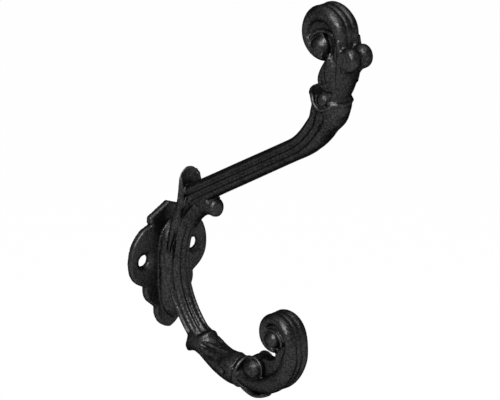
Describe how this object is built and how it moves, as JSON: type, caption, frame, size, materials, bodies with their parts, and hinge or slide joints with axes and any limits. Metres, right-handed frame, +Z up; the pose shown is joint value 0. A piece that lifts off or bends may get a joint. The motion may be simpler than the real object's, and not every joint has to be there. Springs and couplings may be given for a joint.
{
  "type": "double coat hook",
  "caption": "Cast iron double coat hook with a fluted stem, a long upper arm ending in a leafy volute, a lower scroll hook and a lobed wall plate for screws.",
  "frame": {"origin": "on the flat back of the wall plate, midway between the two screw holes", "axes": "+Z up, -Y out from the wall, +X along the line of the screw holes"},
  "size_m": [0.0388, 0.1051, 0.1653],
  "materials": {
    "black_iron": "satin black paint over a fine cast grain"
  },
  "bodies": {
    "root": {"cast_hook": "black_iron"}
  },
  "joints": []
}
